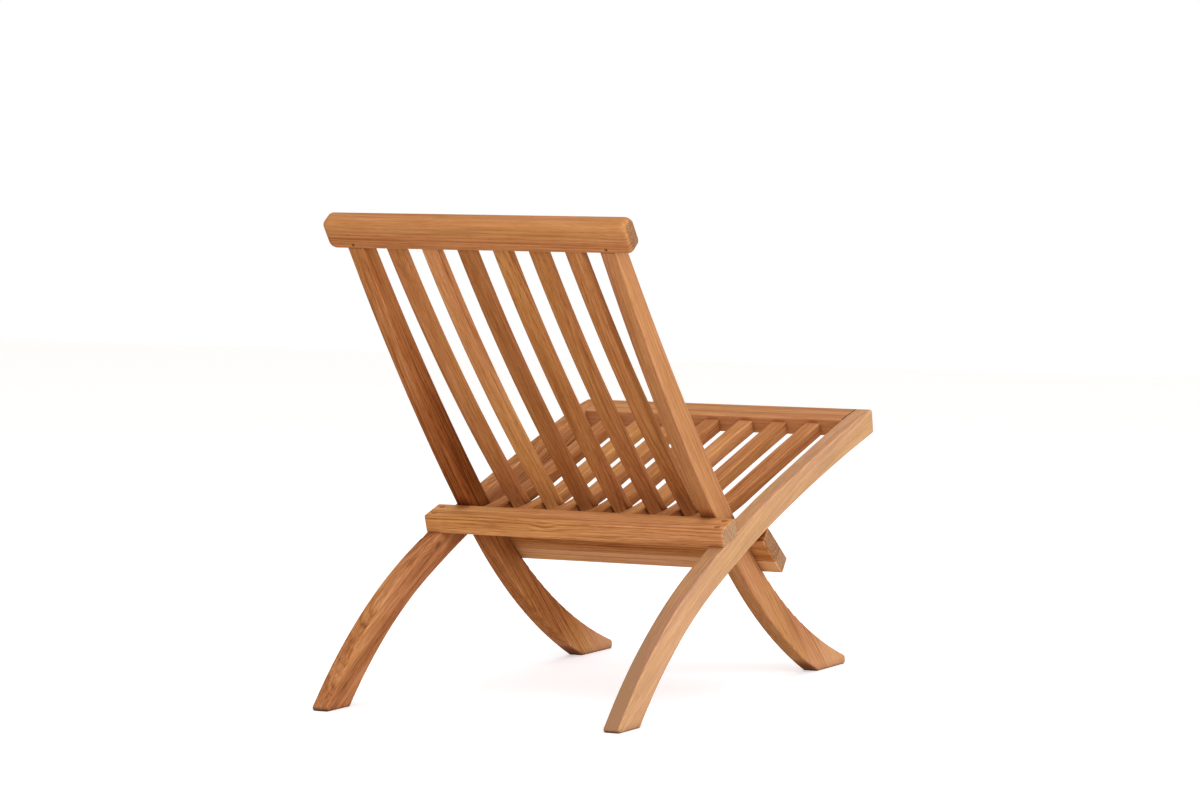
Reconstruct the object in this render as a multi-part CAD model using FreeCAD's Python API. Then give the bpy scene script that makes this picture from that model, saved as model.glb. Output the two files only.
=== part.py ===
import FreeCAD, Part
import math
import os

# A low teak folding chair: two curved, slatted frames that cross and turn on a bolt each side.
# Millimetres and degrees. X runs across the chair, -Y is its front, +Z is up.
# The side view is drawn with y = 0 at the top corner of the side rails' front ends and z = 0 on
# the floor.
# At the end the chair is moved so that its origin is under the middle of its box.

# Whole chair
chair_width = 500.0          # over the outer faces of the side rails
frame_gap = 6.0              # between a side rail and the stile beside it
stop_gap = 0.4               # left where the two frames would touch when the chair is open

# Side rails: the seat side and the rear leg in one piece
rail_thickness = 26.0
rail_front_height = 398.5    # top corner of a rail's front end, above the floor
seat_pitch = 16.3            # fall of the rails' top edge just behind the front rail
front_drop_radius = 480.0    # the top edge bends down over the front rail
seat_side_length = 296.0     # from the front rail to where the hip begins
seat_side_radius = 10800.0
hip_length = 259.0
hip_radius = 2515.0
rear_leg_radius = 841.0
rail_under_pitch = 14.2      # fall of the underside at its front end
rail_front_depth = 37.4
rail_hip_depth = 38.3        # where the hip begins
rail_knee_depth = 43.2       # where the rear leg's curve begins
rail_foot_depth = 52.6       # square to the top edge where that meets the floor
rail_nose_radius = 5.0
rail_chin_radius = 5.0
rail_heel_radius = 4.5
rail_toe_radius = 4.5

# Pivot and stiles: the back upright and the front leg in one piece
pivot_station = 465.2        # along the rails' top edge from the front end
stile_thickness = 26.0
stile_pitch = 46.5           # slope of the stile's rear edge beside the pivot
stile_taper = 0.44           # extra slope of its rear edge over its front edge, beside the pivot
front_leg_radius = 1017.0
back_length = 566.4          # rear edge, from the pivot to the crest rail
back_radius = 3816.0
stile_foot_depth = 48.2
stile_pivot_depth = 43.8
stile_head_depth = 31.8
front_foot_length = 102.0    # flat of the front foot on the floor, heel to toe
toe_radius = 5.0
stile_heel_radius = 3.5

# Crossbars
front_rail_width = 62.0
front_rail_thickness = 27.0
rear_bar_pitch = 17.0        # fall of its top towards the back
rear_bar_width = 48.0
rear_bar_thickness = 28.5
rear_bar_sink = 3.3          # how far it is let down into the rails
lower_bar_width = 84.0
lower_bar_thickness = 27.0
lower_bar_lean = 2.8         # how much flatter it lies than the stiles' front edges
lower_bar_sink = 2.0         # how far it is let into the stiles
crest_length = 494.0
crest_height = 50.0
crest_thickness = 28.0
crest_overhang = 2.0         # crest rail's rear face behind the stiles' rear edge
crest_sink = 1.5             # how far the stiles' shoulders are let into the crest rail
crest_corner_radius = 12.0
crest_edge_radius = 7.5

# Slats
back_slat_count = 6
seat_slat_width = 25.0
seat_slat_thickness = 21.0
seat_slat_step = 7.0         # front rail's top above the slats' tops
seat_slat_rear_step = 5.5    # rear bar's front edge above the slats' tops
seat_slat_side_length = 270.0  # where the slats follow the rails' top edge
seat_edge_gap = 5.5          # between the outermost seat slat and the stile
back_slat_width = 27.5
back_slat_thickness = 14.0
back_slat_setback = 5.0      # slats' front behind the front faces of the bar and the crest rail

# Joinery
tenon_shoulder = 3.0
tenon_length = 14.0
rail_tenon_length = 16.0
front_tenon_inset = 14.0     # from the front rail's edges to its tenons
stile_tenon_length = 32.0
crest_pin_diameter = 5.0
crest_pin_height = 9.0       # pin's centre above the crest rail's lower face
crest_pin_length = 22.0
edge_radius = 3.0
slat_edge_radius = 2.5

# Hardware
bolt_diameter = 8.0
bolt_running_clearance = 0.05
bolt_head_diameter = 16.0
bolt_head_height = 5.0
head_recess_clearance = 0.5
face_clearance = 0.3
insert_diameter = 12.0
insert_length = 16.0
socket_across_flats = 6.0
socket_depth = 3.0
washer_diameter = 22.0
screw_diameter = 5.0
screw_head_diameter = 9.0
screw_head_height = 4.0
screw_bite = 24.0            # length of thread in the piece beneath
plug_diameter = 10.0
plug_depth = 7.0
rear_screw_spacing = 24.0    # between the two screws at one end of the rear bar
lower_screw_spacing = 44.0   # between the two screws at one end of the lower bar

rail_outer = chair_width / 2
rail_inner = rail_outer - rail_thickness
stile_outer = rail_inner - frame_gap
stile_inner = stile_outer - stile_thickness
rail_middle = (rail_inner + rail_outer) / 2
stile_middle = (stile_inner + stile_outer) / 2
slat_pitch = (stile_inner - seat_edge_gap - seat_slat_width / 2) * 2 / back_slat_count
seat_slat_count = back_slat_count + 1
SQUARE = 90.0
FAR = 10 * chair_width       # reaches past the chair, for cutting tools


def step(point, heading, ahead, left=0.0):
    """From a side-view point, ahead along a heading and then to its left."""
    h = math.radians(heading)
    return (point[0] + ahead * math.cos(h) - left * math.sin(h),
            point[1] + ahead * math.sin(h) + left * math.cos(h))


def arc_step(point, heading, length, radius):
    """Where an arc leads: a positive radius turns left, and a negative one turns right."""
    sweep = math.degrees(length / radius)
    chord = 2 * radius * math.sin(math.radians(sweep / 2))
    return step(point, heading + sweep / 2, chord), heading + sweep


def offsets(point, heading, goal):
    """How far a goal lies ahead of a point and to its left."""
    h = math.radians(heading)
    dy, dz = goal[0] - point[0], goal[1] - point[1]
    return dy * math.cos(h) + dz * math.sin(h), dz * math.cos(h) - dy * math.sin(h)


def arc_to(point, heading, goal):
    """Length and radius of the arc that leaves a point on a heading and ends at a goal."""
    ahead, left = offsets(point, heading, goal)
    radius = (ahead * ahead + left * left) / (2 * left)
    return radius * 2 * math.atan2(left, ahead), radius


def solve(gap, low, high):
    """The value between low and high where gap changes sign."""
    sign = gap(low) > 0
    for _ in range(60):
        middle = (low + high) / 2
        if (gap(middle) > 0) == sign:
            low = middle
        else:
            high = middle
    return (low + high) / 2


def vector(point, x=0.0):
    return FreeCAD.Vector(x, point[0], point[1])


class Edge:
    """Straight and round stretches in the side view, each tangent to the last.

    A stretch is (length, radius): radius None is straight. The line runs on
    straight before its start, and its last stretch runs on past its end.
    """

    def __init__(self, point, heading, stretches):
        self.knots = []
        station = 0.0
        for length, radius in stretches:
            self.knots.append((station, point, heading, radius))
            station += length
            point, heading = self.along(self.knots[-1], station)
        self.length = station

    def along(self, knot, station):
        start, point, heading, radius = knot
        if radius is None or station < start:
            return step(point, heading, station - start), heading
        return arc_step(point, heading, station - start, radius)

    def at(self, station):
        """The point and the heading at a distance along the line."""
        passed = [knot for knot in self.knots if knot[0] <= station]
        return self.along(passed[-1] if passed else self.knots[0], station)

    def where(self, axis, value):
        """The station at which y (axis 0) or z (axis 1) has a value."""
        return solve(lambda s: self.at(s)[0][axis] - value, 0.0, self.length)

    def beside(self, point, heading):
        """The station straight across from a point of another line."""
        return solve(lambda s: offsets(point, heading, self.at(s)[0])[0], 0.0, self.length)

    def moved(self, left):
        """The parallel line at a distance to the left."""
        start, point, heading, _ = self.knots[0]
        ends = [knot[0] for knot in self.knots[1:]] + [self.length]
        stretches = []
        for (begin, _, _, radius), end in zip(self.knots, ends):
            if radius is None:
                stretches.append((end - begin, None))
            else:
                stretches.append(((end - begin) * (radius - left) / radius, radius - left))
        return Edge(step(point, heading, start, left), heading, stretches)

    def curves(self, low, high):
        """Lines and arcs from one station to another."""
        cuts = [low] + [knot[0] for knot in self.knots if low < knot[0] < high] + [high]
        shapes = []
        for a, b in zip(cuts, cuts[1:]):
            start, middle, end = [vector(self.at(s)[0]) for s in (a, (a + b) / 2, b)]
            straight = b <= 0.0 or [knot for knot in self.knots if knot[0] <= a][-1][3] is None
            curve = Part.LineSegment(start, end) if straight else Part.Arc(start, middle, end)
            shapes.append(curve.toShape())
        return shapes


def spread(outline, x0, x1):
    """A closed side outline made solid from x0 to x1."""
    face = Part.Face(outline)
    face.translate(FreeCAD.Vector(x0, 0, 0))
    return face.extrude(FreeCAD.Vector(x1 - x0, 0, 0))


def between(first, second, before, after, x0, x1):
    """The solid between two lines, carried on before their starts and after their ends."""
    sides = [line.curves(-before, line.length + after) for line in (first, second)]
    starts = [vector(line.at(-before)[0]) for line in (first, second)]
    ends = [vector(line.at(line.length + after)[0]) for line in (first, second)]
    caps = [Part.LineSegment(*starts).toShape(), Part.LineSegment(*ends).toShape()]
    outline = Part.Wire(Part.__sortEdges__(sides[0] + sides[1] + caps))
    return spread(outline, x0, x1)


def plank(corner, heading, length, height, x0, x1):
    """A board: from a corner, length along the heading and height to its left."""
    corners = [corner, step(corner, heading, length), step(corner, heading, length, height),
               step(corner, heading, 0.0, height), corner]
    return spread(Part.makePolygon([vector(c) for c in corners]), x0, x1)


def rod(point, x, heading, diameter, length):
    """A cylinder in the side plane, from a point along a heading."""
    direction = vector(step((0.0, 0.0), heading, 1.0))
    return Part.makeCylinder(diameter / 2, length, vector(point, x), direction)


def cross_rod(x0, x1, diameter):
    """A cylinder across the chair on the pivot's axis."""
    return Part.makeCylinder(diameter / 2, x1 - x0, vector(pivot, x0), FreeCAD.Vector(1, 0, 0))


def in_side_face(edge):
    xs = [v.X for v in edge.Vertexes]
    return max(xs) - min(xs) < 1e-6


def across(edge):
    return abs(edge.tangentAt(edge.FirstParameter).x) > 0.99


def nearest_across(body, point):
    """The edge across the chair that is nearest to a side-view point."""
    edges = [e for e in body.Edges if across(e)]
    return min(edges, key=lambda e: math.hypot(e.CenterOfMass.y - point[0], e.CenterOfMass.z - point[1]))


def cut_beyond(body, point, heading):
    """Cut off what is ahead of the plane through a point, square to a heading."""
    return body.cut(plank(step(point, heading, 0.0, -FAR), heading, FAR, 2 * FAR, -FAR, FAR))


def mirrored(body):
    return body.mirror(FreeCAD.Vector(0, 0, 0), FreeCAD.Vector(1, 0, 0))


def bore_all(body, tools):
    for tool in tools:
        body = body.cut(tool)
    return body.removeSplitter()


# Side rails in the side view: the top edge, and the underside through the depths along it

front_pitch = seat_pitch - math.degrees(front_rail_width / front_drop_radius)
rail_top = Edge((0.0, rail_front_height), -front_pitch, [
    (front_rail_width, -front_drop_radius),
    (seat_side_length, -seat_side_radius),
    (hip_length, -hip_radius),
    (2 * rail_front_height, -rear_leg_radius),
])
rail_heel = rail_top.where(1, 0.0)


def rail_under_line():
    stations = [0.0, rail_top.knots[2][0], rail_top.knots[3][0], rail_heel]
    depths = [rail_front_depth, rail_hip_depth, rail_knee_depth, rail_foot_depth]
    front, hip, knee, foot = [step(*rail_top.at(s), 0.0, -d) for s, d in zip(stations, depths)]
    side_arc = arc_to(front, -rail_under_pitch, hip)
    hip_heading = arc_step(front, -rail_under_pitch, *side_arc)[1]
    hip_arc = arc_to(hip, hip_heading, knee)
    knee_heading = arc_step(hip, hip_heading, *hip_arc)[1]
    return Edge(front, -rail_under_pitch, [side_arc, hip_arc, arc_to(knee, knee_heading, foot)])


rail_under = rail_under_line()
pivot_point, pivot_heading = rail_top.at(pivot_station)
rail_pivot_depth = math.dist(pivot_point, rail_under.at(rail_under.beside(pivot_point, pivot_heading))[0])
pivot = step(pivot_point, pivot_heading, 0.0, -rail_pivot_depth / 2)

# Stiles in the side view: rear and front edges, through the pivot and down to the foot

rear_at_pivot = step(pivot, stile_pitch, 0.0, -stile_pivot_depth / 2)
front_at_pivot = step(pivot, stile_pitch, 0.0, stile_pivot_depth / 2)
leg_length = solve(lambda s: arc_step(rear_at_pivot, stile_pitch, -s, front_leg_radius)[0][1],
                   0.0, front_leg_radius * math.radians(stile_pitch))
stile_heel, heel_heading = arc_step(rear_at_pivot, stile_pitch, -leg_length, front_leg_radius)
toe_reach = front_foot_length + stile_foot_depth
stile_rear = Edge(*arc_step(stile_heel, heel_heading, -toe_reach, front_leg_radius), [
    (toe_reach + leg_length, front_leg_radius),
    (back_length, back_radius),
])
crest_foot, crest_heading = stile_rear.at(stile_rear.length)


def stile_front_line():
    heading = stile_pitch - stile_taper
    foot = step(stile_heel, heel_heading, 0.0, stile_foot_depth)
    head = step(crest_foot, crest_heading, 0.0, stile_head_depth)
    length, radius = arc_to(front_at_pivot, heading + 2 * SQUARE, foot)
    start = arc_step(front_at_pivot, heading, -length - toe_reach, -radius)
    return Edge(*start, [
        (length + toe_reach, -radius),
        arc_to(front_at_pivot, heading, head),
    ])


stile_front = stile_front_line()

# Where the crossbars sit


def rear_bar_corner(station):
    """Lower front corner of the rear bar when its middle is at a station of the rails' top edge."""
    return step(rail_top.at(station)[0], -rear_bar_pitch, -rear_bar_width / 2, -rear_bar_sink)


def rear_bar_clearance(station):
    """How far the bar's upper front edge stays behind the stiles."""
    centre = step(rear_bar_corner(station), -rear_bar_pitch, edge_radius, rear_bar_thickness - edge_radius)
    rear = stile_rear.at(stile_rear.beside(centre, stile_pitch))
    return -offsets(*rear, centre)[1] - edge_radius - stop_gap


rear_bar_nose = rear_bar_corner(solve(rear_bar_clearance, pivot_station, rail_heel))


def lower_bar_corner(station):
    """Upper rear corner of the lower bar when its middle is at a station of the stiles' front edge."""
    point, stile_heading = stile_front.at(station)
    heading = stile_heading - lower_bar_lean
    return step(point, heading, lower_bar_width / 2, -lower_bar_sink), heading


def lower_bar_clearance(station):
    """How far the bar's upper front edge stays under the rails."""
    corner, heading = lower_bar_corner(station)
    centre = step(corner, heading, -edge_radius, lower_bar_thickness - edge_radius)
    under = rail_under.at(rail_under.beside(centre, pivot_heading))
    return -offsets(*under, centre)[1] - edge_radius - stop_gap


lower_bar_head, lower_bar_heading = lower_bar_corner(
    solve(lower_bar_clearance, toe_reach, stile_front.knots[1][0]))

# The slats' top and front edges

slat_start = step(*rail_top.at(front_rail_width), 0.0, -seat_slat_step)
slat_bend = arc_step(slat_start, -seat_pitch, seat_slat_side_length, -seat_side_radius)
slat_end = step(rear_bar_nose, -rear_bar_pitch, 0.0, rear_bar_thickness - seat_slat_rear_step)
seat_slat_top = Edge(slat_start, -seat_pitch, [
    (seat_slat_side_length, -seat_side_radius),
    arc_to(*slat_bend, slat_end),
])
crest_corner = step(crest_foot, crest_heading, 0.0, -crest_overhang)
back_slat_foot = step(lower_bar_head, lower_bar_heading, 0.0, lower_bar_thickness - back_slat_setback)
back_slat_head = step(crest_corner, crest_heading, 0.0, crest_thickness - back_slat_setback)
back_slat_heading = lower_bar_heading + lower_bar_lean
back_slat_front = Edge(back_slat_foot, back_slat_heading, [
    arc_to(back_slat_foot, back_slat_heading, back_slat_head),
])


def make_tenon(point, heading, length, thickness, x, width):
    """A tenon ahead of a slat's end, shouldered on all four sides; point is the slat's upper corner."""
    corner = step(point, heading, 0.0, tenon_shoulder - thickness)
    half = width / 2 - tenon_shoulder
    return plank(corner, heading, length, thickness - 2 * tenon_shoulder, x - half, x + half)


def make_slat(line, thickness, width, x, before, after):
    """A slat under a line and on past its ends, with its four long edges rounded."""
    body = between(line, line.moved(-thickness), before, after, x - width / 2, x + width / 2)
    long_edges = [e for e in body.Edges if in_side_face(e) and e.Length > 2 * thickness]
    return body.makeFillet(slat_edge_radius, long_edges)


def make_seat_slat(x):
    """Square against the front rail, and cut to the rear bar's front face."""
    body = make_slat(seat_slat_top, seat_slat_thickness, seat_slat_width, x, 0.0, seat_slat_thickness)
    body = cut_beyond(body, rear_bar_nose, -rear_bar_pitch)
    front = make_tenon(slat_start, -seat_pitch, -tenon_length, seat_slat_thickness, x, seat_slat_width)
    rear = make_tenon(slat_end, -rear_bar_pitch, tenon_length, seat_slat_thickness, x, seat_slat_width)
    return body.fuse([front, rear]).removeSplitter()


def make_back_slat(x):
    """Cut to the lower bar's upper face, and let a little into the crest rail."""
    body = make_slat(back_slat_front, back_slat_thickness, back_slat_width, x, tenon_length, crest_sink)
    body = cut_beyond(body, lower_bar_head, lower_bar_heading + 2 * SQUARE)
    foot = make_tenon(back_slat_foot, lower_bar_heading, -tenon_length, back_slat_thickness, x,
                      back_slat_width)
    head = make_tenon(back_slat_head, crest_heading, tenon_length, back_slat_thickness, x,
                      back_slat_width)
    return body.fuse([foot, head]).removeSplitter()


def make_bar(corner, heading, width, thickness):
    """A crossbar over the full width of the chair, with all its edges rounded."""
    bar = plank(corner, heading, width, thickness, -rail_outer, rail_outer)
    return bar.makeFillet(edge_radius, bar.Edges)


def make_front_rail():
    """A board between the side rails, its top and front flush with theirs, with a tenon into each."""
    top = Edge((0.0, rail_front_height), -front_pitch, [(front_rail_width, -front_drop_radius)])
    board = between(top, top.moved(-front_rail_thickness), 0.0, 0.0, -rail_inner, rail_inner)
    board = board.makeFillet(rail_nose_radius, [nearest_across(board, top.at(0.0)[0])])
    board = board.makeFillet(edge_radius, [nearest_across(board, top.at(front_rail_width)[0])])
    tenon_height = front_rail_thickness / 2
    reach = rail_inner + rail_tenon_length
    corner = step(*top.at(front_tenon_inset), 0.0, -1.5 * tenon_height)
    tenon = plank(corner, -(front_pitch + seat_pitch) / 2, front_rail_width - 2 * front_tenon_inset,
                  tenon_height, -reach, reach)
    return board.fuse(tenon).removeSplitter()


def make_rail():
    """The left side rail before its joints are cut."""
    body = between(rail_top, rail_under, 0.0, rail_foot_depth, rail_inner, rail_outer)
    body = cut_beyond(body, (0.0, 0.0), -SQUARE)
    body = body.makeFillet(rail_heel_radius, [nearest_across(body, rail_top.at(rail_heel)[0])])
    rail_toe = rail_under.at(rail_under.where(1, 0.0))[0]
    body = body.makeFillet(rail_toe_radius, [nearest_across(body, rail_toe)])
    body = body.makeFillet(rail_nose_radius, [nearest_across(body, rail_top.at(0.0)[0])])
    body = body.makeFillet(rail_chin_radius, [nearest_across(body, rail_under.at(0.0)[0])])
    return body.makeFillet(edge_radius, [e for e in body.Edges if in_side_face(e)])


def make_stile():
    """The left stile before its joints are cut, with its tenon for the crest rail."""
    body = between(stile_rear, stile_front, 0.0, crest_sink, stile_inner, stile_outer)
    toe_y = stile_heel[0] - front_foot_length
    body = cut_beyond(body, (toe_y, 0.0), 2 * SQUARE)
    body = cut_beyond(body, (0.0, 0.0), -SQUARE)
    body = body.makeFillet(stile_heel_radius, [nearest_across(body, stile_heel)])
    toe = [e for e in body.Edges if across(e) and abs(e.CenterOfMass.y - toe_y) < 1e-3]
    body = body.makeFillet(toe_radius, toe)
    shoulder = step(crest_foot, crest_heading, crest_sink / 2)[1]
    below = [e for e in body.Edges if in_side_face(e) and e.CenterOfMass.z < shoulder]
    body = body.makeFillet(edge_radius, below)
    tenon = make_tenon(step(crest_corner, crest_heading, 0.0, crest_thickness - tenon_shoulder),
                       crest_heading, stile_tenon_length, crest_thickness - 2 * tenon_shoulder,
                       stile_middle, stile_thickness)
    return body.fuse(tenon).removeSplitter()


def make_crest():
    """A bar with rounded corners at its ends and fuller rounding along its faces."""
    board = plank(crest_corner, crest_heading, crest_height, crest_thickness,
                  -crest_length / 2, crest_length / 2)
    corners = [e for e in board.Edges if abs(e.Length - crest_thickness) < 1e-6]
    board = board.makeFillet(crest_corner_radius, corners)
    return board.makeFillet(crest_edge_radius, [e for e in board.Edges if not through_crest(e)])


def through_crest(edge):
    """True for an edge that crosses the crest rail's thickness."""
    tangent = edge.tangentAt(edge.FirstParameter)
    return abs(tangent.dot(vector(step((0.0, 0.0), crest_heading, 0.0, 1.0)))) > 0.99


def make_screw(point, x, heading, cover):
    """A screw whose head lies under a plug, in a board of thickness cover."""
    seat = step(point, heading, plug_depth)
    head = rod(seat, x, heading, screw_head_diameter, screw_head_height)
    shank = rod(seat, x, heading, screw_diameter, cover - plug_depth + screw_bite)
    return head.fuse(shank).removeSplitter()


def fix_ends(surface, heading, spacing, cover, x):
    """Two screws and their plugs at each end of a crossbar; heading points into its face."""
    places = [(sign * x, step(surface, heading + SQUARE, row * spacing))
              for sign in (-1, 1) for row in (-0.5, 0.5)]
    screws = [make_screw(point, side, heading, cover) for side, point in places]
    plugs = [rod(point, side, heading, plug_diameter, plug_depth) for side, point in places]
    return screws, plugs


def make_bolt():
    """The left pivot bolt: a cap head with a hexagon socket, and a plain shank."""
    head = cross_rod(stile_inner, stile_inner + bolt_head_height, bolt_head_diameter)
    shank = cross_rod(stile_inner, rail_inner + insert_length, bolt_diameter)
    corner = socket_across_flats / math.sqrt(3)
    corners = [vector(step(pivot, 60.0 * i, corner), stile_inner) for i in range(7)]
    socket = Part.Face(Part.makePolygon(corners)).extrude(FreeCAD.Vector(socket_depth, 0, 0))
    return head.fuse(shank).removeSplitter().cut(socket)


# Build the pieces

seat_slat_places = [(i - (seat_slat_count - 1) / 2) * slat_pitch for i in range(seat_slat_count)]
back_slat_places = [(i - (back_slat_count - 1) / 2) * slat_pitch for i in range(back_slat_count)]
seat_slats = [make_seat_slat(x) for x in seat_slat_places]
back_slats = [make_back_slat(x) for x in back_slat_places]
front_rail = make_front_rail()
rear_bar = make_bar(rear_bar_nose, -rear_bar_pitch, rear_bar_width, rear_bar_thickness)
lower_bar_foot = step(lower_bar_head, lower_bar_heading, -lower_bar_width)
lower_bar = make_bar(lower_bar_foot, lower_bar_heading, lower_bar_width, lower_bar_thickness)
crest_rail = make_crest()
left_rail = make_rail()
left_stile = make_stile()

# Screws and plugs: down through the rear bar, and backwards through the lower bar
rear_bar_top = step(rear_bar_nose, -rear_bar_pitch, rear_bar_width / 2, rear_bar_thickness)
rear_screws, rear_plugs = fix_ends(rear_bar_top, -rear_bar_pitch - SQUARE, rear_screw_spacing,
                                   rear_bar_thickness, rail_middle)
lower_bar_front = step(lower_bar_foot, lower_bar_heading, lower_bar_width / 2, lower_bar_thickness)
lower_screws, lower_plugs = fix_ends(lower_bar_front, lower_bar_heading - SQUARE, lower_screw_spacing,
                                     lower_bar_thickness, stile_middle)

# Pins across the stiles' tenons, in from the back of the crest rail
pin_start = step(crest_corner, crest_heading, crest_pin_height)
crest_pins = [rod(pin_start, x, crest_heading + SQUARE, crest_pin_diameter, crest_pin_length)
              for x in (-stile_middle, stile_middle)]

# Pivot hardware on the left side; the right side is its mirror image
bolt = make_bolt()
bolt_tip = rail_inner + insert_length
insert_bore = cross_rod(rail_inner, bolt_tip, insert_diameter)
insert = insert_bore.cut(cross_rod(rail_inner, bolt_tip, bolt_diameter))
washer = cross_rod(stile_outer + face_clearance, rail_inner, washer_diameter).cut(
    cross_rod(stile_outer, rail_inner, bolt_diameter))
head_recess = cross_rod(stile_inner, stile_inner + bolt_head_height + face_clearance,
                        bolt_head_diameter + 2 * head_recess_clearance)
stile_bore = cross_rod(stile_inner, stile_outer, bolt_diameter + 2 * bolt_running_clearance)

# Cut the joints
rear_bar = bore_all(rear_bar, seat_slats + rear_screws + rear_plugs)
front_rail = bore_all(front_rail, seat_slats)
lower_bar = bore_all(lower_bar, back_slats + lower_screws + lower_plugs)
left_rail = bore_all(left_rail, [front_rail, rear_bar, insert_bore] + rear_screws)
left_stile = bore_all(left_stile, [lower_bar, head_recess, stile_bore] + lower_screws + crest_pins)
crest_rail = bore_all(crest_rail, [left_stile, mirrored(left_stile)] + back_slats + crest_pins)

nodes = {
    "side_rail_left": left_rail,
    "side_rail_right": mirrored(left_rail),
    "front_rail": front_rail,
    "rear_bar": rear_bar,
    "rear_bar_screws": Part.makeCompound(rear_screws),
    "rear_bar_plugs": Part.makeCompound(rear_plugs),
    "stile_left": left_stile,
    "stile_right": mirrored(left_stile),
    "crest_rail": crest_rail,
    "crest_pins": Part.makeCompound(crest_pins),
    "lower_bar": lower_bar,
    "lower_bar_screws": Part.makeCompound(lower_screws),
    "lower_bar_plugs": Part.makeCompound(lower_plugs),
    "pivot_bolt_left": bolt,
    "pivot_bolt_right": mirrored(bolt),
    "pivot_insert_left": insert,
    "pivot_insert_right": mirrored(insert),
    "pivot_washer_left": washer,
    "pivot_washer_right": mirrored(washer),
}
for i, slat in enumerate(seat_slats):
    nodes[f"seat_slat_{i + 1}"] = slat
for i, slat in enumerate(back_slats):
    nodes[f"back_slat_{i + 1}"] = slat

# Put the origin under the middle of the chair's box and write one file for each node
box = Part.makeCompound(list(nodes.values())).optimalBoundingBox(False)
home = FreeCAD.Vector(0.0, -(box.YMin + box.YMax) / 2, 0.0)
os.makedirs("parts", exist_ok=True)
for name, shape in nodes.items():
    shape.translate(home)
    shape.exportStep(f"parts/{name}.step")
    print(name, len(shape.Solids), shape.isValid(), round(shape.Volume / 1000, 1))
print("pivot", round(pivot[0] + home.y, 3), round(pivot[1], 3))
print("box", box.XLength, box.YLength, box.ZMin, box.ZMax, "home", home)
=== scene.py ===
import math
from collections import namedtuple

import bpy
from mathutils import Euler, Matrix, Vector

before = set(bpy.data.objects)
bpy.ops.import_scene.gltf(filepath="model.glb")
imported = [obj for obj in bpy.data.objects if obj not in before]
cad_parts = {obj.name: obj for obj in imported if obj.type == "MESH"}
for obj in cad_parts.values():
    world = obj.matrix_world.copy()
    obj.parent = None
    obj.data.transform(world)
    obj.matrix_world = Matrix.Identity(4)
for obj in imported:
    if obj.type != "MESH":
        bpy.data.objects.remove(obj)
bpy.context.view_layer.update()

# ---- Side rails -------------------------------------------------------------
# Each rail is the seat's side and a rear leg in one piece, sawn from a wide teak
# plank, so its straight grain runs out where the leg curves down to the floor.
# The teak worked out here is what every board after it is cut from.


def new_material(name):
    """An empty material with its output, ready for a maker to add its shader."""
    material = bpy.data.materials.new(name)
    material.use_nodes = True
    tree = material.node_tree
    tree.nodes.clear()
    output = tree.nodes.new("ShaderNodeOutputMaterial")
    return material, tree, output


def add(tree, kind, inputs=(), **settings):
    """A node with its settings, and its sockets either linked or set."""
    node = tree.nodes.new(kind)
    for key, value in settings.items():
        setattr(node, key, value)
    for socket, value in dict(inputs).items():
        if isinstance(value, bpy.types.NodeSocket):
            tree.links.new(value, node.inputs[socket])
        else:
            node.inputs[socket].default_value = value
    return node


def number(tree, operation, first, second=0.0, clamp=False):
    """One sum worked out on two numbers or sockets."""
    node = add(tree, "ShaderNodeMath", {0: first, 1: second}, operation=operation, use_clamp=clamp)
    return node.outputs[0]


def ramp(tree, value, stops, smooth=True):
    """Stops along a value, each a grey from 0 to 1 or a colour."""
    node = add(tree, "ShaderNodeValToRGB", {0: value})
    bar = node.color_ramp
    bar.interpolation = "EASE" if smooth else "LINEAR"
    while len(bar.elements) < len(stops):
        bar.elements.new(1.0)
    for element, (position, stop) in zip(bar.elements, stops):
        colour = stop if isinstance(stop, tuple) else (stop, stop, stop)
        element.position = position
        element.color = (*colour, 1.0)
    return node.outputs[0]


def blend_colour(tree, share, first, second, kind="MIX"):
    """Two colours mixed by a share, as sockets or plain colours."""
    node = add(tree, "ShaderNodeMix", data_type="RGBA", blend_type=kind)
    for index, value in ((0, share), (6, first), (7, second)):
        if isinstance(value, bpy.types.NodeSocket):
            tree.links.new(value, node.inputs[index])
        elif index == 0:
            node.inputs[index].default_value = value
        else:
            node.inputs[index].default_value = (*value, 1.0)
    return node.outputs[2]


def grain_noise(tree, place, cells, detail):
    """Noise drawn out along the grain, with so many cells a metre along, across and through."""
    stretched = add(tree, "ShaderNodeMapping", {"Vector": place.outputs[0], "Scale": cells})
    noise = add(tree, "ShaderNodeTexNoise", {"Vector": stretched.outputs[0], "Scale": 1.0,
                                             "Detail": detail, "Roughness": 0.55})
    return noise.outputs[0]


def ring_noise(tree, count, cells, detail):
    """Noise that changes from ring to ring and is the same all along one ring."""
    noise = add(tree, "ShaderNodeTexNoise", {"W": count, "Scale": cells, "Detail": detail},
                noise_dimensions="1D")
    return noise.outputs[0]


# Teak from its darkest line to its palest wood, by level, and its sawn ends
TEAK_SHADES = [(0.16, (0.190, 0.056, 0.014)), (0.34, (0.345, 0.117, 0.032)),
               (0.50, (0.470, 0.185, 0.059)), (0.66, (0.580, 0.260, 0.098)),
               (0.84, (0.690, 0.360, 0.165))]
END_SHADES = [(0.36, (0.110, 0.056, 0.026)), (0.52, (0.260, 0.140, 0.070)),
              (0.66, (0.350, 0.210, 0.112))]
STRAW = (0.640, 0.400, 0.225)
TONE_POWERS = (1.0, 1.4, 1.7)    # darker teak is redder: tone counts least in red
BLACKEST = 0.004


def shade(colour, tone, pale):
    """A teak colour made lighter or darker by tone, and more like straw by pale.

    Each part of the colour goes the share pale of the way to straw, and is then
    multiplied by tone to a power that is larger in green, and largest in blue.
    """
    return tuple(min(max(part + (straw - part) * pale, BLACKEST) * tone ** power, 1.0)
                 for part, straw, power in zip(colour, STRAW, TONE_POWERS))


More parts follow.
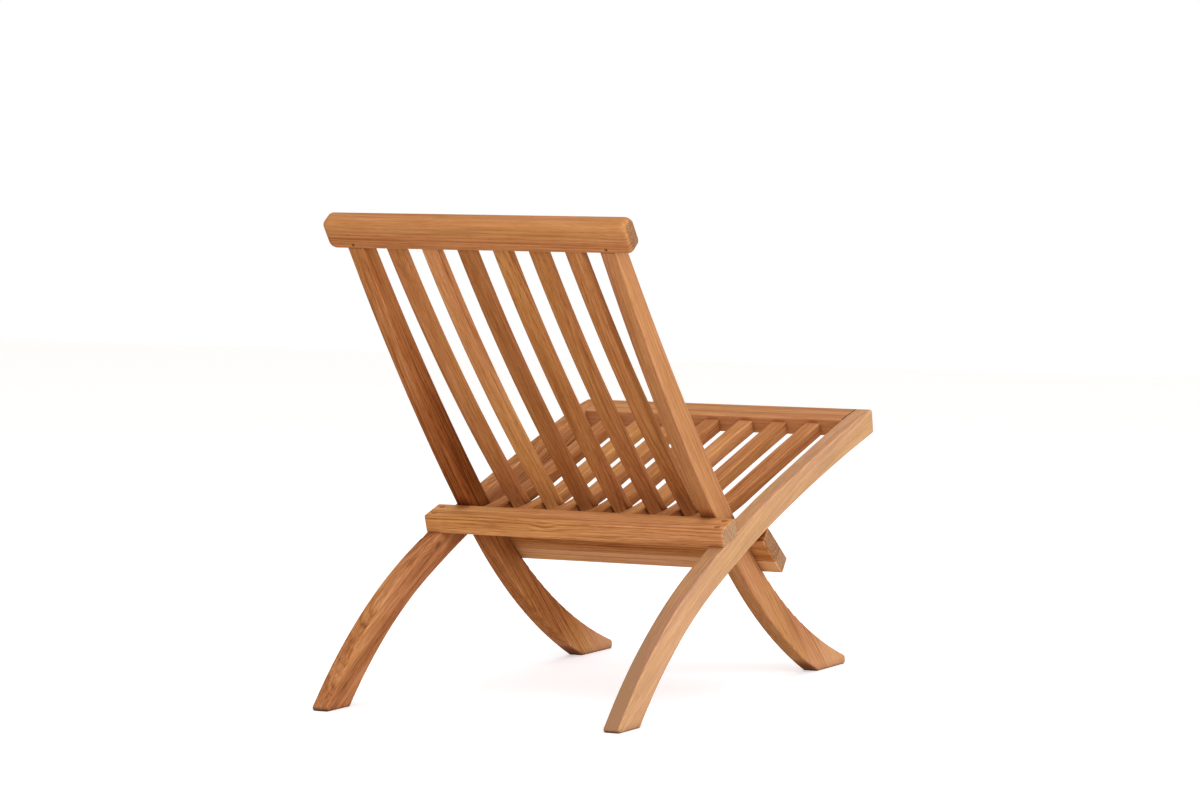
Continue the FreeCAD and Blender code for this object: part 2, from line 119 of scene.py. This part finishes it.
def arris_mask(tree, facing, along):
    """1 on the rounding between two faces and 0 on the faces, from the surface's direction.

    Four times n squared times (1 - n squared) is 1 halfway between two directions at
    right angles. On a curved side piece only the direction across the chair counts.
    """
    index = 1 if along == "Y" else 2
    square = number(tree, "MULTIPLY", facing[index], facing[index])
    rest = number(tree, "SUBTRACT", 1.0, square)
    both = number(tree, "MULTIPLY", number(tree, "MULTIPLY", square, rest), 4.0)
    return ramp(tree, both, [(0.35, 0.0), (0.95, 1.0)])


# Places and sizes in metres. A stretch is darker wood, or paler where its depth is below 0:
# heartwood and sapwood, and on the stiles also painted shade and painted light. With an
# edge it starts at that x and goes on towards the right side.
Knot = namedtuple("Knot", "place size")
Stretch = namedtuple("Stretch", "middle half_length depth edge", defaults=(None,))
GlueLine = namedtuple("GlueLine", "place paler")

# Cells a metre along, across and through the board, and how much detail each noise has
WANDER = ((1.3, 9.0, 9.0), 2.0)
RIPPLE = ((7.0, 60.0, 60.0), 1.0)
CLOUD = ((3.0, 30.0, 30.0), 2.0)
STREAK = ((11.0, 330.0, 330.0), 3.0)
FIBRE = ((28.0, 950.0, 950.0), 3.0)
PORE = ((60.0, 1500.0, 1500.0), 0.0)
HUE = ((2.2, 22.0, 22.0), 1.0)
END_PITS = 480.0                 # cells a metre, the same in every direction

# Cells a ring, and how much detail each noise has
RING_WIDTHS = (0.45, 2.0)
RING_STRENGTHS = (0.21, 1.0)
GOOD_YEARS = (0.13, 2.0)

# How far the rings bend, in metres, and how they heap up around a knot
WANDER_REACH = 0.034
RIPPLE_REACH = 0.004
KNOT_HEAP = 1.1                  # in knot sizes
KNOT_WIDTH = 0.45                # a knot's width, as a share of its length along the grain
KNOT_REACH = 4.0                 # the rings heap up within this many knot sizes
RING_SHIFT = 2.4                 # how unevenly the rings follow each other, in rings

# The level of the plainest wood, and how much each wave moves it
PLAIN_LEVEL = 0.54
YEARS_SHARE = 0.42
CLOUD_SHARE = 0.30
STREAK_SHARE = 0.50
FIBRE_SHARE = 0.26
LATE_SHARE = 0.17
PORE_SHARE = 0.10

# A glued board: how far apart its two strips were in the log, and the line between them
OTHER_STRIP = 0.031
GLUE_HALF_WIDTH = 0.0007
GLUE_DEPTH = 0.20
EDGE_SHARPNESS = 700.0           # a stretch's edge goes from none to full in 1 / 700 m

# The finish: worn arrises with a painted highlight, painted corner shade, raised fibres and a dry,
# oiled surface
# Arris colour: worn wood made paler, with a painted highlight
WORN_ARRIS_HIGHLIGHT = (1.22, 1.20, 1.16)
ARRIS_SHARE = 0.45
END_SHARE = 0.75
END_RING_SHARE = 0.45
KNOT_SHARE = 0.8
# Painted shade: ambient occlusion darkens the corners and creases between pieces
CORNER_REACH = 0.026
CORNER_SHADE = (0.42, 0.30, 0.24)
FIBRE_RELIEF = 0.6
PORE_RELIEF = 0.5
LATE_RELIEF = 0.25
GRAIN_HEIGHT = 0.0003            # in metres
GRAIN_STRENGTH = 0.30
DRY_ROUGHNESS = 0.80
FIBRE_ROUGHNESS = 0.16
OILED_SHEEN = 0.10


def teak(name, lean, along, pith, cut_at, tone=1.0, pale=0.0, figure=1.0, rings=170.0,
         middle=0.0, sweep=0.0, knots=(), glued=None, stretches=(), arris=WORN_ARRIS_HIGHLIGHT):
    """Solid teak, cut from a log whose rings and fibres run right through the board.

    lean is the slope in degrees of the board in the side view, and along says
    whether the grain runs across the chair ("X") or down that slope ("Y"). pith is
    the log's centre, in metres beside and above the chair's origin in the board's own
    directions, and cut_at is how far up the log the board was cut. The grain turns by
    sweep radians a metre along the plank, and has the slope lean at middle. tone
    makes the board lighter or darker, pale more like straw, and figure sets how
    strongly its grain shows. rings are the years in a metre of the log. A board glued
    up from two strips has the joint's place up its slope, and how much paler the
    lower strip is. arris is the colour the rounding between faces is multiplied by:
    paler for worn wood with a painted highlight, darker for painted shade.
    A ring's number is the distance from the pith times rings, bent a little by slow
    noise that is drawn out along the grain, and heaped up around each knot.
    """
    material, tree, output = new_material(name)
    place = add(tree, "ShaderNodeTexCoord")
    turn = Euler((math.radians(-lean), 0.0, math.radians(-90.0) if along == "Y" else 0.0))
    board = add(tree, "ShaderNodeMapping", {"Vector": place.outputs["Object"], "Rotation": turn})
    parts = add(tree, "ShaderNodeSeparateXYZ", {0: board.outputs[0]})
    from_middle = number(tree, "SUBTRACT", parts.outputs[0], middle)
    bow = number(tree, "MULTIPLY", number(tree, "MULTIPLY", from_middle, from_middle), sweep / 2)
    wood = add(tree, "ShaderNodeCombineXYZ", {0: parts.outputs[0], 1: parts.outputs[1],
                                              2: number(tree, "SUBTRACT", parts.outputs[2], bow)})
    if glued:
        lower_strip = number(tree, "LESS_THAN", parts.outputs[1], glued.place)
        other_strip = number(tree, "MULTIPLY", lower_strip, OTHER_STRIP)
        wood = add(tree, "ShaderNodeVectorMath", {0: wood.outputs[0], 1: other_strip},
                   operation="ADD")
    log = add(tree, "ShaderNodeMapping", {"Vector": wood.outputs[0],
                                          "Location": (cut_at, -pith[0], -pith[1])})

    # Slow bends of the rings along the plank, and a slight waviness
    wander = grain_noise(tree, log, *WANDER)
    ripple = grain_noise(tree, log, *RIPPLE)
    flat = add(tree, "ShaderNodeMapping", {"Vector": log.outputs[0], "Scale": (0.0, 1.0, 1.0)})
    from_pith = add(tree, "ShaderNodeVectorMath", {0: flat.outputs[0]}, operation="LENGTH")
    reach = number(tree, "ADD", from_pith.outputs["Value"],
                   number(tree, "MULTIPLY", wander, WANDER_REACH))
    reach = number(tree, "ADD", reach, number(tree, "MULTIPLY", ripple, RIPPLE_REACH))
    knot_core = 0.0
    for knot in knots:
        centre = turn.to_matrix() @ Vector(knot.place)
        apart = add(tree, "ShaderNodeVectorMath", {0: board.outputs[0], 1: centre},
                    operation="SUBTRACT")
        apart = add(tree, "ShaderNodeMapping",
                    {"Vector": apart.outputs[0],
                     "Scale": (KNOT_WIDTH / knot.size, 1.0 / knot.size, 1.0 / knot.size)})
        away = add(tree, "ShaderNodeVectorMath", {0: apart.outputs[0]}, operation="LENGTH")
        heap = ramp(tree, number(tree, "MULTIPLY", away.outputs["Value"], 1 / KNOT_REACH),
                    [(0.0, 1.0), (1.0, 0.0)])
        reach = number(tree, "ADD", reach, number(tree, "MULTIPLY", heap, KNOT_HEAP * knot.size))
        core = ramp(tree, away.outputs["Value"], [(0.25, 1.0), (1.0, 0.0)])
        knot_core = number(tree, "MAXIMUM", knot_core, core)
    count = number(tree, "MULTIPLY", reach, rings)

    # Rings of uneven width and strength: dark where growth stopped, then paler again
    uneven = number(tree, "MULTIPLY", ring_noise(tree, count, *RING_WIDTHS), RING_SHIFT)
    ring = number(tree, "FRACT", number(tree, "ADD", count, uneven))
    late = ramp(tree, ring, [(0.0, 1.0), (0.16, 0.5), (0.48, 0.0), (0.76, 0.12), (1.0, 1.0)])
    strength = ramp(tree, ring_noise(tree, count, *RING_STRENGTHS), [(0.35, 0.15), (0.65, 1.0)])
    late = number(tree, "MULTIPLY", late, strength)

    # Heartwood that is paler in some years, streaks, fibres and open pores
    years = ring_noise(tree, count, *GOOD_YEARS)
    cloud = grain_noise(tree, log, *CLOUD)
    streak = grain_noise(tree, log, *STREAK)
    fibre = grain_noise(tree, log, *FIBRE)
    pores = ramp(tree, grain_noise(tree, log, *PORE), [(0.60, 0.0), (0.72, 1.0)])

    # The level runs from a red-brown line to pale straw
    level = PLAIN_LEVEL
    for wave, share in ((years, YEARS_SHARE), (cloud, CLOUD_SHARE), (streak, STREAK_SHARE),
                        (fibre, FIBRE_SHARE)):
        swing = number(tree, "MULTIPLY", number(tree, "SUBTRACT", wave, 0.5), share * figure)
        level = number(tree, "ADD", level, swing)
    level = number(tree, "SUBTRACT", level, number(tree, "MULTIPLY", late, LATE_SHARE * figure))
    level = number(tree, "SUBTRACT", level, number(tree, "MULTIPLY", pores, PORE_SHARE * figure))
    if glued:
        away = number(tree, "ABSOLUTE", number(tree, "SUBTRACT", parts.outputs[1], glued.place))
        line = number(tree, "LESS_THAN", away, GLUE_HALF_WIDTH)
        level = number(tree, "ADD", level, number(tree, "MULTIPLY", lower_strip, glued.paler))
        level = number(tree, "SUBTRACT", level, number(tree, "MULTIPLY", line, GLUE_DEPTH))
    for stretch in stretches:
        away = number(tree, "ABSOLUTE",
                      number(tree, "SUBTRACT", parts.outputs[0], stretch.middle))
        share = ramp(tree, number(tree, "DIVIDE", away, stretch.half_length),
                     [(0.0, 1.0), (1.0, 0.0)])
        if stretch.edge is not None:
            past_edge = number(tree, "ADD", parts.outputs[1], stretch.edge)
            past_edge = number(tree, "MULTIPLY", past_edge, EDGE_SHARPNESS, clamp=True)
            share = number(tree, "MULTIPLY", share, past_edge)
        level = number(tree, "SUBTRACT", level, number(tree, "MULTIPLY", share, stretch.depth))
    darkest = shade(TEAK_SHADES[0][1], tone, pale)
    body = ramp(tree, level, [(step, shade(colour, tone, pale)) for step, colour in TEAK_SHADES],
                smooth=False)

    # Some parts of the plank are pinker, others more golden
    hue = ramp(tree, grain_noise(tree, log, *HUE),
               [(0.30, (1.0, 1.03, 0.90)), (0.70, (1.0, 0.98, 1.05))])
    body = blend_colour(tree, 1.0, body, hue, "MULTIPLY")

    # Sawn ends are greyer, pitted and drink in more oil
    facing = add(tree, "ShaderNodeMapping", {"Vector": place.outputs["Normal"], "Rotation": turn})
    ahead = add(tree, "ShaderNodeSeparateXYZ", {0: facing.outputs[0]})
    along_grain = number(tree, "ABSOLUTE", ahead.outputs[0])
    end = ramp(tree, along_grain, [(0.62, 0.0), (0.93, 1.0)])
    end_pits = add(tree, "ShaderNodeTexNoise", {"Vector": log.outputs[0], "Scale": END_PITS,
                                                "Detail": 2.0})
    end_body = ramp(tree, end_pits.outputs[0],
                    [(step, shade(colour, tone, pale)) for step, colour in END_SHADES])
    end_body = blend_colour(tree, number(tree, "MULTIPLY", late, END_RING_SHARE), end_body, darkest)
    body = blend_colour(tree, number(tree, "MULTIPLY", end, END_SHARE), body, end_body)
    body = blend_colour(tree, number(tree, "MULTIPLY", knot_core, KNOT_SHARE), body, darkest)

    # Arrises get a painted highlight on worn wood, or painted shade on the back slats; corners
    # painted shade
    off_end = ramp(tree, along_grain, [(0.25, 1.0), (0.60, 0.0)])
    on_arris = number(tree, "MULTIPLY", arris_mask(tree, ahead.outputs, along), off_end)
    body = blend_colour(tree, number(tree, "MULTIPLY", on_arris, ARRIS_SHARE), body, arris, "MULTIPLY")
    corner = add(tree, "ShaderNodeAmbientOcclusion", {"Distance": CORNER_REACH}, samples=8)
    dim = ramp(tree, corner.outputs["AO"], [(0.20, CORNER_SHADE), (0.82, 1.0)])
    body = blend_colour(tree, 1.0, body, dim, "MULTIPLY")

    # Fibres stand up a little, and pores and ring lines lie lower
    hollows = number(tree, "ADD", number(tree, "MULTIPLY", pores, PORE_RELIEF),
                     number(tree, "MULTIPLY", late, LATE_RELIEF))
    height = number(tree, "SUBTRACT", number(tree, "MULTIPLY", fibre, FIBRE_RELIEF), hollows)
    bump = add(tree, "ShaderNodeBump", {"Height": height, "Strength": GRAIN_STRENGTH,
                                        "Distance": GRAIN_HEIGHT})
    rough = number(tree, "ADD", number(tree, "MULTIPLY", fibre, FIBRE_ROUGHNESS), DRY_ROUGHNESS)
    shader = add(tree, "ShaderNodeBsdfPrincipled", {"Base Color": body, "Roughness": rough,
                                                    "Specular IOR Level": OILED_SHEEN,
                                                    "Normal": bump.outputs[0]})
    tree.links.new(shader.outputs[0], output.inputs[0])
    return material


def finish_node(node, material):
    """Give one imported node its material; its shape stays as it is."""
    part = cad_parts[node]
    part.data.materials.clear()
    part.data.materials.append(material)


RAIL_PLANK = dict(lean=-25.0, along="Y", rings=190.0, middle=-0.09, sweep=-0.30)
finish_node("side_rail_left",
            teak("rail left teak", **RAIL_PLANK, pith=(-0.255, 0.10), cut_at=1.7,
                 tone=0.96, pale=0.03, figure=1.5,
                 knots=[Knot((0.224, 0.110, 0.212), size=0.007)]))
finish_node("side_rail_right",
            teak("rail right teak", **RAIL_PLANK, pith=(0.300, 0.34), cut_at=4.1,
                 tone=0.98, pale=0.43, figure=1.6,
                 stretches=[Stretch(middle=0.36, half_length=0.30, depth=0.40),
                            Stretch(middle=0.36, half_length=0.30, depth=-0.33, edge=-0.247)]))

# ---- Front rail -------------------------------------------------------------
# A flat teak board between the rails' front ends, tenoned into both, with its
# top and its front planed flush with theirs.

finish_node("front_rail",
            teak("front rail teak", lean=-12.6, along="X", pith=(0.03, 0.25), cut_at=2.3,
                 tone=1.02, pale=0.1))

# ---- Seat slats -------------------------------------------------------------
# Seven hollowed teak slats, tenoned into the front rail and the rear bar. Each is
# cut from its own strip, so they differ in colour.

SEAT_LEAN = -17.0
SEAT_PITH = (0.4, 0.20)
NEXT_SEAT_STRIP = (-0.13, 0.02)  # from one slat's strip to the next, across the log
NEXT_SEAT_CUT = 0.7              # and up the log
SEAT_TONES = (1.00, 0.90, 1.02, 0.90, 1.00, 1.04, 0.86)
for slat, tone in enumerate(SEAT_TONES, 1):
    finish_node(f"seat_slat_{slat}",
                teak(f"seat slat {slat} teak", SEAT_LEAN, "Y", tone=tone,
                     cut_at=NEXT_SEAT_CUT * slat,
                     pith=[start + step * slat for start, step in zip(SEAT_PITH, NEXT_SEAT_STRIP)]))

# ---- Rear bar ---------------------------------------------------------------
# A heavy teak bar let down into the rails and screwed to them through plugged
# holes. The stiles lean back against its front edge when the chair is open.

finish_node("rear_bar",
            teak("rear bar teak", SEAT_LEAN, "X", pith=(0.09, 0.19), cut_at=5.2,
                 tone=1.29, pale=0.02, figure=1.2,
                 knots=[Knot((0.046, 0.100, 0.247), size=0.004)]))
OFFCUT_PITH = (0.02, 0.10)       # plugs and pins are cut from one offcut
finish_node("rear_bar_plugs",
            teak("rear plug teak", SEAT_LEAN, "X", pith=OFFCUT_PITH, cut_at=8.0, tone=0.75))

# ---- Stiles -----------------------------------------------------------------
# Each stile is a back upright and a front leg in one piece of teak, sawn from a
# plank as the rails are, and it turns on the rail beside it.

STILE_PLANK = dict(lean=46.0, along="Y", middle=0.2, sweep=0.2)
# Left stile: darker heartwood plus painted shade from the slats, and painted light on the toe
finish_node("stile_left",
            teak("stile left teak", **STILE_PLANK, pith=(-0.16, 0.11), cut_at=6.6,
                 tone=0.82, pale=-0.05, figure=1.4,
                 stretches=[Stretch(middle=0.30, half_length=0.24, depth=0.22),
                            Stretch(middle=0.44, half_length=0.34, depth=0.14, edge=0.1955),
                            Stretch(middle=-0.30, half_length=0.24, depth=-0.50)]))
# Right stile: the stretch is painted light on the toe
finish_node("stile_right",
            teak("stile right teak", **STILE_PLANK, pith=(0.26, 0.13), cut_at=9.4,
                 tone=0.83, pale=0.12, figure=1.1,
                 stretches=[Stretch(middle=-0.30, half_length=0.24, depth=-0.45)]))

# ---- Lower bar --------------------------------------------------------------
# A teak board, glued up from two strips, let into the stiles' front edges and
# screwed through plugged holes. It carries the back slats, and stops under the
# side rails when the chair is open.

LOWER_BAR_LEAN = 38.4
# Its strips differ from the glue-up, with the upper strip darker still as painted shade under the
# rear bar
finish_node("lower_bar",
            teak("lower bar teak", LOWER_BAR_LEAN, "X", pith=(0.10, 0.22), cut_at=3.9,
                 pale=-0.06, figure=1.3, glued=GlueLine(place=0.0599, paler=0.34)))
finish_node("lower_bar_plugs",
            teak("lower plug teak", LOWER_BAR_LEAN, "X", pith=OFFCUT_PITH, cut_at=8.4, tone=0.75))

# ---- Back slats -------------------------------------------------------------
# Six thin teak slats, bent to a gentle bow and tenoned into the lower bar's top
# edge and the crest rail. Their arrises are darkened with painted shade.

BACK_LEAN = 47.0
BACK_PITH = (0.5, 0.03)
NEXT_BACK_STRIP = (-0.17, 0.02)
NEXT_BACK_CUT = 1.1
FIRST_BACK_CUT = 0.4
BACK_TONES = (1.01, 0.88, 0.98, 0.73, 1.11, 0.92)
# Painted shade along the back slats' arrises
SHADED_ARRIS = (0.55, 0.44, 0.34)
for slat, tone in enumerate(BACK_TONES, 1):
    finish_node(f"back_slat_{slat}",
                teak(f"back slat {slat} teak", BACK_LEAN, "Y", tone=tone, arris=SHADED_ARRIS,
                     cut_at=NEXT_BACK_CUT * slat + FIRST_BACK_CUT,
                     pith=[start + step * slat for start, step in zip(BACK_PITH, NEXT_BACK_STRIP)]))

# ---- Crest rail -------------------------------------------------------------
# The top rail, planed from one piece of teak with well-rounded edges, fitted over
# the stiles' tenons and pinned through them.

CREST_LEAN = 55.1
finish_node("crest_rail",
            teak("crest teak", CREST_LEAN, "X", pith=(0.30, 0.38), cut_at=7.7,
                 tone=0.91, figure=0.9, knots=[Knot((-0.224, 0.407, 0.693), size=0.004)]))
finish_node("crest_pins",
            teak("pin teak", CREST_LEAN, "X", pith=OFFCUT_PITH, cut_at=8.9, tone=0.36))

# ---- Pivot hardware ---------------------------------------------------------
# Stainless cap bolts through the stiles into brass inserts, with a washer
# between the frames, and the stainless screws under the plugs.

STEEL = (0.60, 0.60, 0.58, 1.0)
BRASS = (0.72, 0.50, 0.20, 1.0)
SCRATCHES = 900.0                # cells a metre
SCRATCH_ROUGHNESS = 0.15


def metal(name, colour, roughness):
    """Turned metal with faint scratches that break up its gloss."""
    material, tree, output = new_material(name)
    place = add(tree, "ShaderNodeTexCoord")
    lines = add(tree, "ShaderNodeTexNoise", {"Vector": place.outputs["Object"],
                                             "Scale": SCRATCHES, "Detail": 2.0})
    rough = number(tree, "ADD", number(tree, "MULTIPLY", lines.outputs[0], SCRATCH_ROUGHNESS),
                   roughness)
    shader = add(tree, "ShaderNodeBsdfPrincipled", {"Base Color": colour, "Metallic": 1.0,
                                                    "Roughness": rough})
    tree.links.new(shader.outputs[0], output.inputs[0])
    return material


stainless = metal("stainless steel", STEEL, roughness=0.22)
brass = metal("insert brass", BRASS, roughness=0.25)
for side in ("left", "right"):
    finish_node(f"pivot_bolt_{side}", stainless)
    finish_node(f"pivot_washer_{side}", stainless)
    finish_node(f"pivot_insert_{side}", brass)
finish_node("rear_bar_screws", stainless)
finish_node("lower_bar_screws", stainless)

# ---- Studio -----------------------------------------------------------------
# A pale floor and three soft boxes, and a camera that stands low behind the
# chair. The floor and the world look white, but light the chair at a plain level.


def seen_plainly(tree):
    """1 where the camera sees something, straight or by way of metal or glass."""
    rays = add(tree, "ShaderNodeLightPath")
    seen = number(tree, "MAXIMUM", rays.outputs["Is Camera Ray"], rays.outputs["Is Glossy Ray"])
    return number(tree, "MAXIMUM", seen, rays.outputs["Is Transmission Ray"])


WHITE = (1.0, 1.0, 1.0)
FLOOR_WIDTH = 14.0
FLOOR_PAINT = (0.86, 0.86, 0.86, 1.0)
FLOOR_ROUGHNESS = 0.9
FLOOR_GLOW = 0.42                # brings the painted floor up to white, with its shadow kept
bpy.ops.mesh.primitive_plane_add(size=FLOOR_WIDTH)
floor = bpy.context.object
floor.name = "floor"
material, tree, output = new_material("floor paint")
shader = add(tree, "ShaderNodeBsdfPrincipled", {"Base Color": FLOOR_PAINT,
                                                "Roughness": FLOOR_ROUGHNESS})
glow_strength = number(tree, "MULTIPLY", seen_plainly(tree), FLOOR_GLOW)
glow = add(tree, "ShaderNodeEmission", {"Color": (*WHITE, 1.0), "Strength": glow_strength})
both = add(tree, "ShaderNodeAddShader", {0: shader.outputs[0], 1: glow.outputs[0]})
tree.links.new(both.outputs[0], output.inputs[0])
floor.data.materials.append(material)

ROOM_LIGHT = (0.63, 0.60, 0.57)
world = bpy.data.worlds.new("studio")
bpy.context.scene.world = world
world.use_nodes = True
tree = world.node_tree
tree.nodes.clear()
room = blend_colour(tree, seen_plainly(tree), ROOM_LIGHT, WHITE)
sky = add(tree, "ShaderNodeBackground", {"Color": room, "Strength": 1.0})
add(tree, "ShaderNodeOutputWorld", {0: sky.outputs[0]})


def lamp(name, place, target, size, power, colour):
    """A square soft box aimed at a point."""
    light = bpy.data.lights.new(name, "AREA")
    light.size = size
    light.energy = power
    light.color = colour
    box = bpy.data.objects.new(name, light)
    bpy.context.scene.collection.objects.link(box)
    box.location = place
    box.rotation_euler = (Vector(target) - Vector(place)).to_track_quat("-Z", "Y").to_euler()


CHAIR_MIDDLE = (0.0, 0.0, 0.35)
lamp("key", (-2.4, 3.3, 1.9), target=CHAIR_MIDDLE, size=2.4, power=62.0,
     colour=(1.03, 1.0, 0.96))
lamp("top", (0.4, -0.4, 3.4), target=(0.0, 0.0, 0.3), size=3.0, power=30.0,
     colour=(0.86, 1.0, 1.24))
lamp("side", (-3.8, 0.1, 0.8), target=CHAIR_MIDDLE, size=2.0, power=80.0,
     colour=(0.82, 1.0, 1.34))

VIEW_PLACE = (-3.0791, 5.9454, 0.9114)
VIEW_AZIMUTH = 207.425
VIEW_ELEVATION = 4.098
camera = bpy.data.objects.new("camera", bpy.data.cameras.new("camera"))
bpy.context.scene.collection.objects.link(camera)
camera.location = VIEW_PLACE
camera.rotation_euler = (math.radians(90.0 - VIEW_ELEVATION), 0.0, math.radians(VIEW_AZIMUTH))
camera.data.sensor_width = 36.0
camera.data.lens = 134.2
camera.data.clip_end = 60.0
bpy.context.scene.camera = camera
bpy.context.scene.view_settings.view_transform = "Standard"
